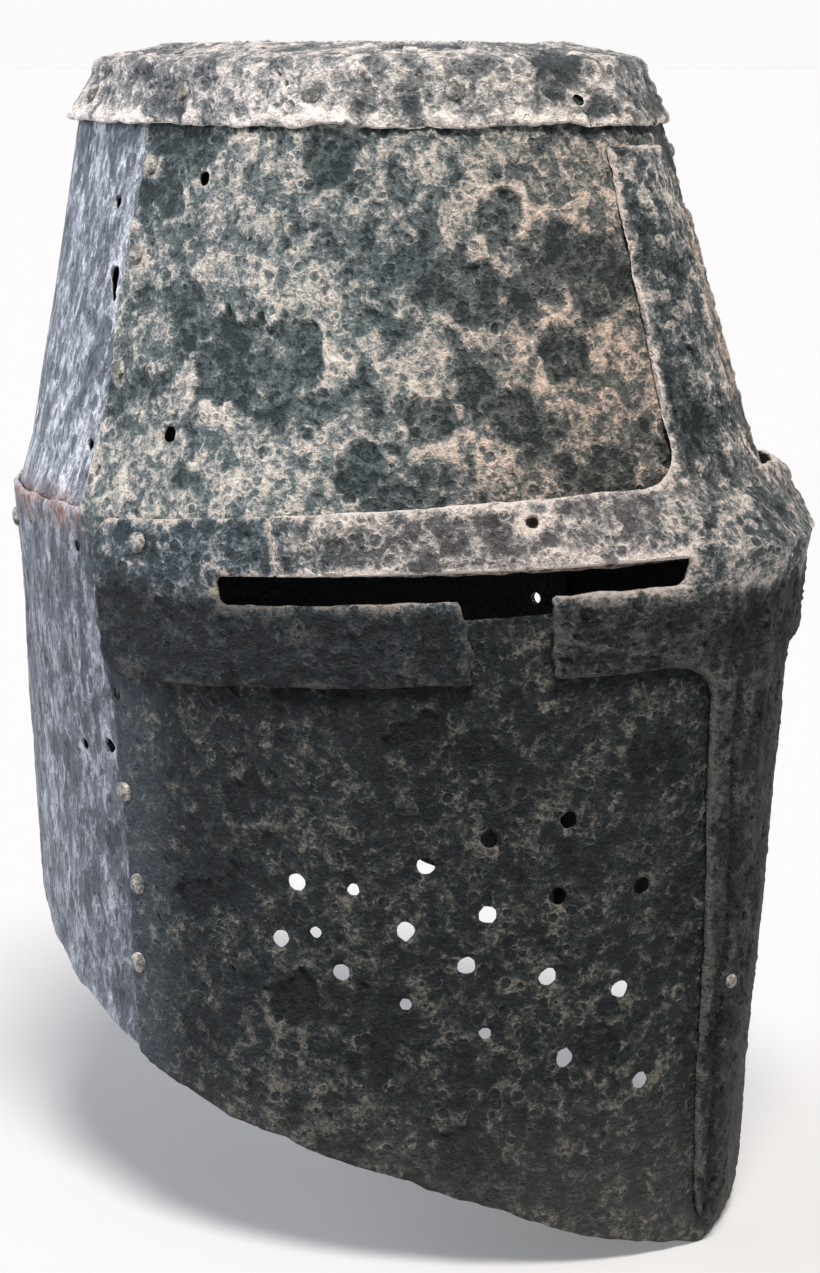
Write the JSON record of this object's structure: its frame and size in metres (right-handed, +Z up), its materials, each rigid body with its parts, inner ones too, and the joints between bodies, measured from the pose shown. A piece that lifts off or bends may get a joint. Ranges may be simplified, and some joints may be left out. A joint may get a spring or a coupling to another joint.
{
  "type": "great helm",
  "caption": "Flat-topped riveted iron helm with a keeled front, two eye slits inside a reinforcing cross, and breathing holes; old, pitted and rusted.",
  "frame": {"origin": "under the middle of the whole helm, at the height of the chin, its lowest point", "axes": "+Z up, the wearer faces -Y, +X is the wearer's left"},
  "size_m": [0.2366, 0.2798, 0.3643],
  "materials": {
    "crusted_iron": "flaked forged iron with pale tan corrosion crust",
    "blued_iron": "pitted forged iron, blue grey, with rust in the seams",
    "dark_iron": "pitted forged iron, nearly black green, with brown grey mottling",
    "cross_iron": "heavily pitted forged iron with worn pale edges",
    "rivet_iron": "hand-hammered rusted iron"
  },
  "bodies": {
    "root": {"top_plate": "crusted_iron", "upper_front_plate": "crusted_iron", "upper_back_plate": "blued_iron", "lower_front_plate": "dark_iron", "lower_back_plate": "blued_iron", "sight_cross": "cross_iron", "right_arm_end": "cross_iron", "crown_rivets": "rivet_iron", "upper_right_seam_rivets": "rivet_iron", "upper_left_seam_rivets": "rivet_iron", "lower_right_seam_rivets": "rivet_iron", "lower_left_seam_rivets": "rivet_iron", "waist_rivets": "rivet_iron", "left_arm_rivets": "rivet_iron", "right_arm_rivet": "rivet_iron", "arm_end_rivet": "rivet_iron", "bar_upper_rivets": "rivet_iron", "bar_lower_rivet": "rivet_iron", "lining_rivets": "rivet_iron"}
  },
  "joints": []
}
